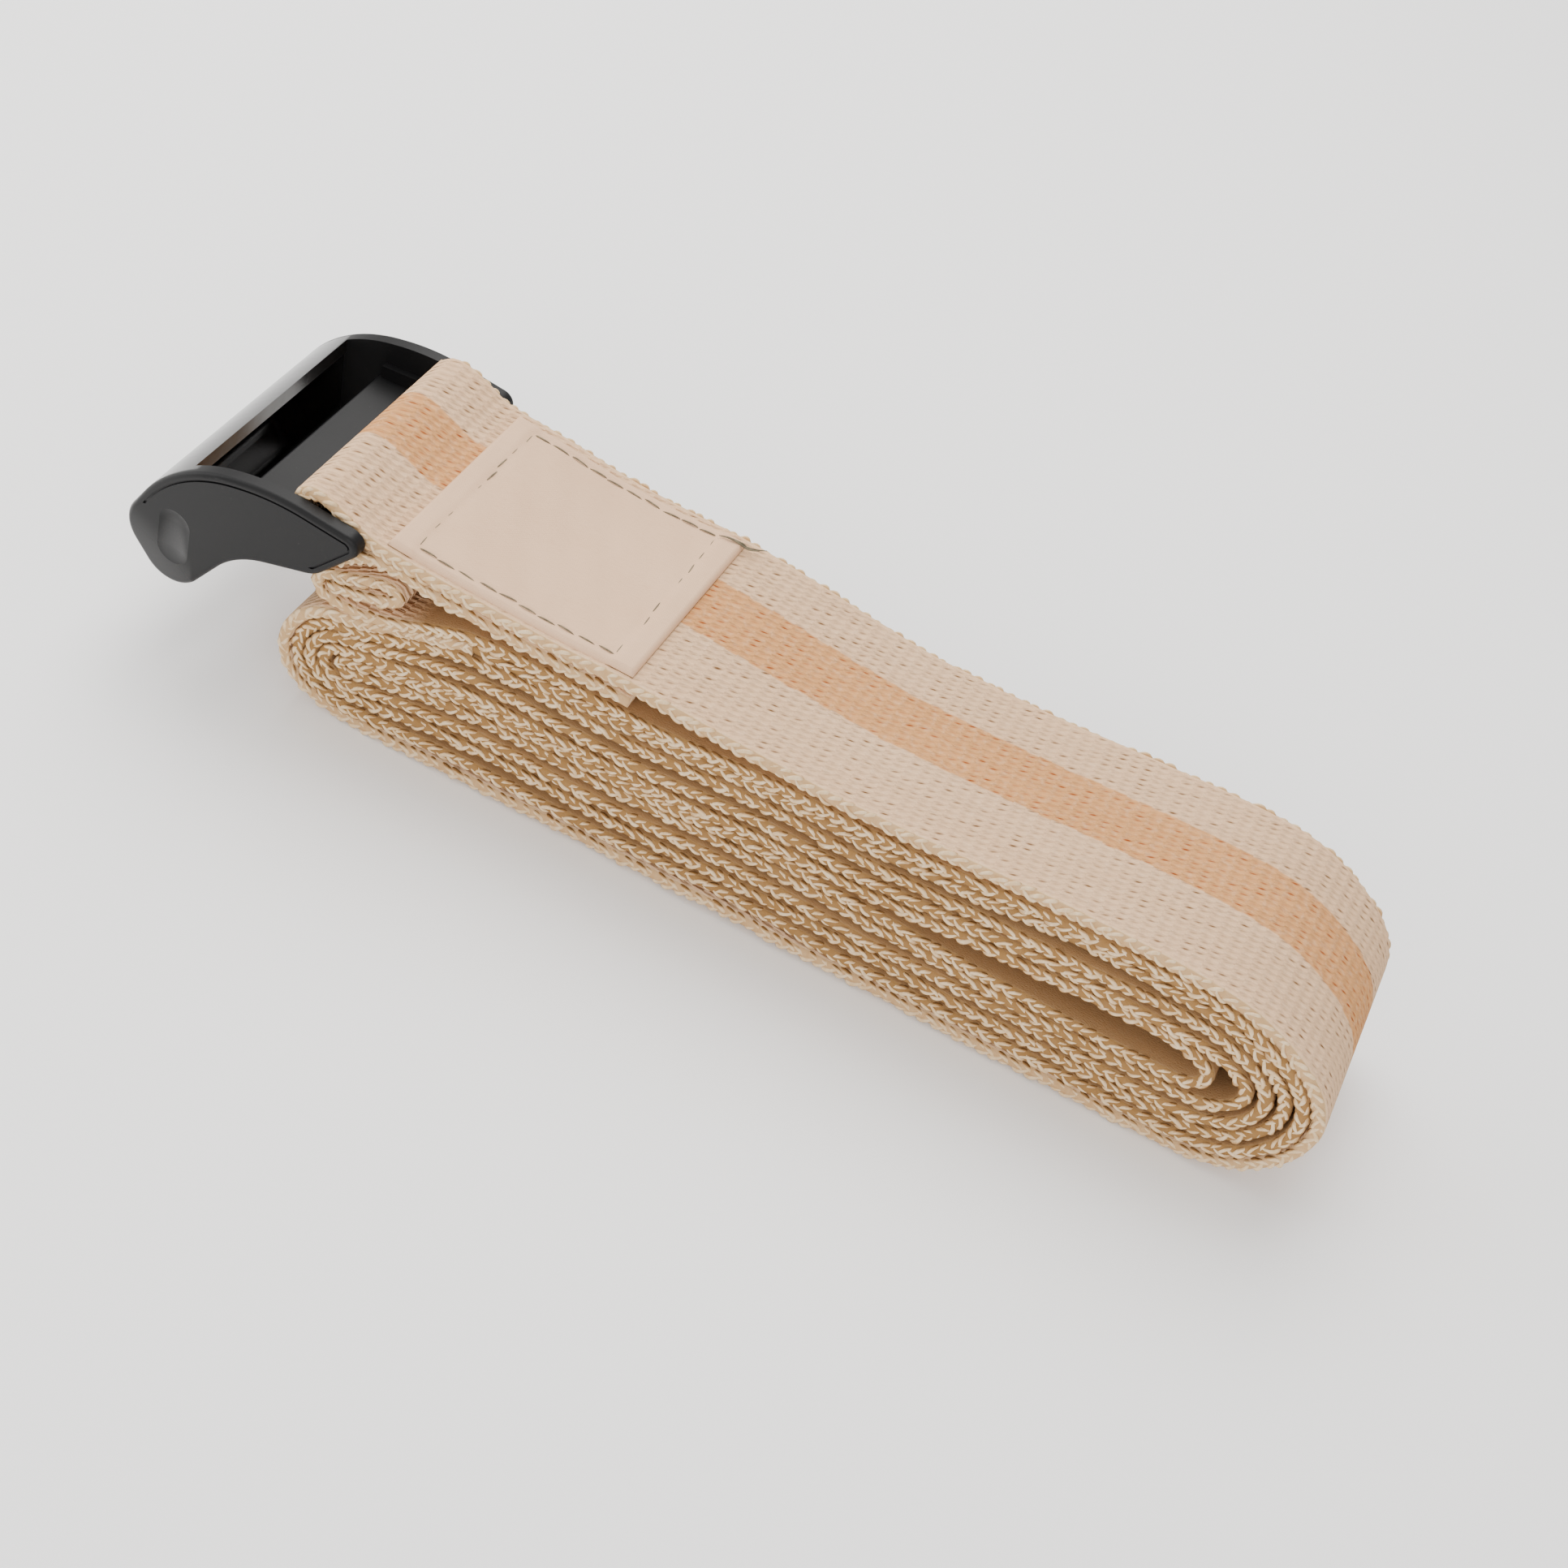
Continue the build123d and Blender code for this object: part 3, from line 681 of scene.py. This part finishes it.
# ---- label and sewing --------------------------------------------------------------------------
LABEL_LEFT, LABEL_RIGHT = -75.2, -33.9
LABEL_NEAR, LABEL_FAR = -17.9, 16.8
SEAM_SHORT, SEAM_LONG = 3.9, 1.75            # the seam's distance from the short and long sides
STITCH_PITCH, STITCH_LENGTH = 3.3, 3.0
STITCH_RADIUS = 0.13
STITCH_JITTER = 0.18


def top_length(ribbon, x):
    """The length along the ribbon where its upper run passes x."""
    rows = ribbon.rows
    upper = (rows[:, 1] > 34.5) & (ribbon.tangent[:, 0] > 0.7)
    at, places = ribbon.at[upper], rows[upper, 0]
    return float(np.interp(x, places, at))


def build_label(ribbon):
    """A cloth patch with its edges turned under, lying on the upper layer of the sewn end."""
    start, end = top_length(ribbon, LABEL_LEFT), top_length(ribbon, LABEL_RIGHT)
    columns, rows = 90, 76
    uu, vv = np.meshgrid(np.linspace(0, 1, columns), np.linspace(0, 1, rows), indexing="ij")
    at = start + (end - start) * uu
    across = LABEL_NEAR + (LABEL_FAR - LABEL_NEAR) * vv
    from_short = np.minimum(uu, 1 - uu) * (end - start)
    from_long = np.minimum(vv, 1 - vv) * (LABEL_FAR - LABEL_NEAR)
    edge = np.minimum(from_short, from_long)
    base = THICKNESS / 2 + 0.06
    fold = 0.85 * np.clip(edge / 0.45, 0, 1) ** 0.5
    turned = np.clip((4.6 - from_short) / 0.7, 0, 1) * 0.28
    seam = np.exp(-((from_short - SEAM_SHORT) / 0.5) ** 2) * (from_long > 1.4)
    seam += np.exp(-((from_long - SEAM_LONG) / 0.45) ** 2) * (from_short > 3.4)
    puffs = 0.10 * np.sin(at * 0.33 + 1.0) * np.sin(across * 0.27)
    puffs += 0.07 * np.sin(at * 0.9 + across * 0.5)
    height = base + fold + turned + puffs * np.clip(edge / 3, 0, 1) - 0.26 * np.clip(seam, 0, 1)
    under = np.full_like(height, THICKNESS / 2 - 0.1)
    top = ribbon.place(at.ravel(), across.ravel(), height.ravel())
    low = ribbon.place(at.ravel(), across.ravel(), under.ravel())
    count = columns * rows
    quads = [grid_faces(columns, rows, closed_columns=False)[:, ::-1],
             grid_faces(columns, rows, closed_columns=False, start=count)]
    border = list(range(rows)) + [i * rows + rows - 1 for i in range(1, columns)]
    border += [(columns - 1) * rows + j for j in range(rows - 2, -1, -1)]
    border += [i * rows for i in range(columns - 2, 0, -1)]
    ring = np.array(border)
    following = np.roll(ring, -1)
    quads.append(np.stack([ring, following, following + count, ring + count], -1))
    attributes = {"along": np.tile(at.ravel(), 2), "across": np.tile(across.ravel(), 2),
                  "rim": np.repeat([0.0, 1.0], count)}
    return build_object("label_patch", np.vstack([top, low]), np.vstack(quads), (), attributes)


def thread_tube(ribbon, at, across, height, radius, sides=8):
    """One stitch: a tube through points on the ribbon, drawn in at its ends."""
    centre = ribbon.place(np.asarray(at), np.asarray(across), np.asarray(height))
    tangent = np.gradient(centre, axis=0)
    tangent /= np.linalg.norm(tangent, axis=1, keepdims=True)
    side = np.cross(tangent, np.array([0.0, 0.0, 1.0]))
    side /= np.linalg.norm(side, axis=1, keepdims=True)
    up = np.cross(side, tangent)
    turn = np.arange(sides) * 2 * np.pi / sides
    width = radius * np.sqrt(np.clip(1 - np.linspace(-1, 1, len(centre)) ** 2 * 0.85, 0.05, 1))
    ring = (centre[:, None] + side[:, None] * (width[:, None] * np.cos(turn))[..., None]
            + up[:, None] * (width[:, None] * np.sin(turn))[..., None])
    return ring.reshape(-1, 3)


def join_tubes(name, tubes, sides=8):
    vertices = np.vstack(tubes)
    quads, caps, start = [], [], 0
    for tube in tubes:
        rings = len(tube) // sides
        quads.append(grid_faces(rings, sides, start=start))
        caps.append([start + s for s in range(sides)][::-1])
        caps.append([start + (rings - 1) * sides + s for s in range(sides)])
        start += len(tube)
    return build_object(name, vertices, np.vstack(quads), caps)


def seam_stitches(ribbon, level, sign, seed):
    """Stitches round the label, on the upper face (sign 1) or under the lower layer (sign -1)."""
    generator = np.random.default_rng(seed)
    start, end = top_length(ribbon, LABEL_LEFT), top_length(ribbon, LABEL_RIGHT)
    left, right = start + SEAM_SHORT, end - SEAM_SHORT
    near, far = LABEL_NEAR + SEAM_LONG, LABEL_FAR - SEAM_LONG
    tubes = []
    share = np.linspace(-0.5, 0.5, 7)
    dip = sign * 0.16 * (1 - (2 * share) ** 4) - sign * 0.1
    for across in (near, far):
        count = round((right - left) / STITCH_PITCH)
        for k in range(count):
            middle = left + (right - left) * (k + 0.5) / count
            jitter = generator.uniform(-STITCH_JITTER, STITCH_JITTER, 3)
            at = middle + share * STITCH_LENGTH + jitter[0]
            tubes.append(thread_tube(ribbon, at, across + jitter[1] + share * jitter[2] * 2,
                                     level + dip, STITCH_RADIUS))
    for edge in (left, right):
        count = round((far - near) / STITCH_PITCH)
        for k in range(count):
            middle = near + (far - near) * (k + 0.5) / count
            jitter = generator.uniform(-STITCH_JITTER, STITCH_JITTER, 3)
            across = middle + share * STITCH_LENGTH + jitter[0]
            at = np.full(7, edge) + jitter[1] + share * jitter[2] * 2
            tubes.append(thread_tube(ribbon, at, across, level + dip, STITCH_RADIUS))
    return tubes


def loose_ends(ribbon):
    """The thread's loose ends, which stick out past the label's far right corner."""
    end = top_length(ribbon, LABEL_RIGHT)
    top, tubes = THICKNESS / 2, []
    for reach, sway, lift in ((3.4, 0.9, 0.9), (2.6, -0.5, 1.3), (1.9, 0.3, 0.6)):
        share = np.linspace(0, 1, 9)
        at = end - SEAM_SHORT + (SEAM_SHORT + reach) * share
        across = LABEL_FAR - SEAM_LONG + 1.2 * share + sway * share ** 2
        past = np.clip((at - end) / 0.8, 0, 1)
        on_label, on_webbing = 1.3 + 0.25 * np.sin(6 * share), 0.45 + lift * share ** 3
        height = top + on_label * (1 - past) + on_webbing * past
        tubes.append(thread_tube(ribbon, at, across, height, 0.15))
    return tubes


def build_needle_thread(ribbon):
    tubes = seam_stitches(ribbon, THICKNESS / 2 + 0.80, 1, 5)
    return join_tubes("label_stitching", tubes + loose_ends(ribbon))


def build_bobbin_thread(ribbon):
    tubes = seam_stitches(ribbon, -THICKNESS / 2 - 2.75, -1, 6)
    return join_tubes("label_stitching_under", tubes)


# ---- assembly ----------------------------------------------------------------------------------
def main():
    add_camera()
    add_studio()
    webbing, exposed = build_webbing()
    webbing.data.materials.append(webbing_material())
    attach(webbing, "strap")
    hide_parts("webbing", "hem_thread")

    label = build_label(exposed)
    label.data.materials.append(label_material())
    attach(label, "strap")
    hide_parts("label")

    olive = thread_material("olive_thread", rgb(122, 110, 84), rgb(92, 82, 60))
    needle = build_needle_thread(exposed)
    needle.data.materials.append(olive)
    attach(needle, "strap")
    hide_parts("label_needle_thread")
    bobbin = build_bobbin_thread(exposed)
    bobbin.data.materials.append(olive)
    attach(bobbin, "strap")
    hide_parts("label_bobbin_thread")

    buckle = frame["nodes"]["buckle"]
    buckle.data.materials.clear()
    buckle.data.materials.append(plastic_material())


main()
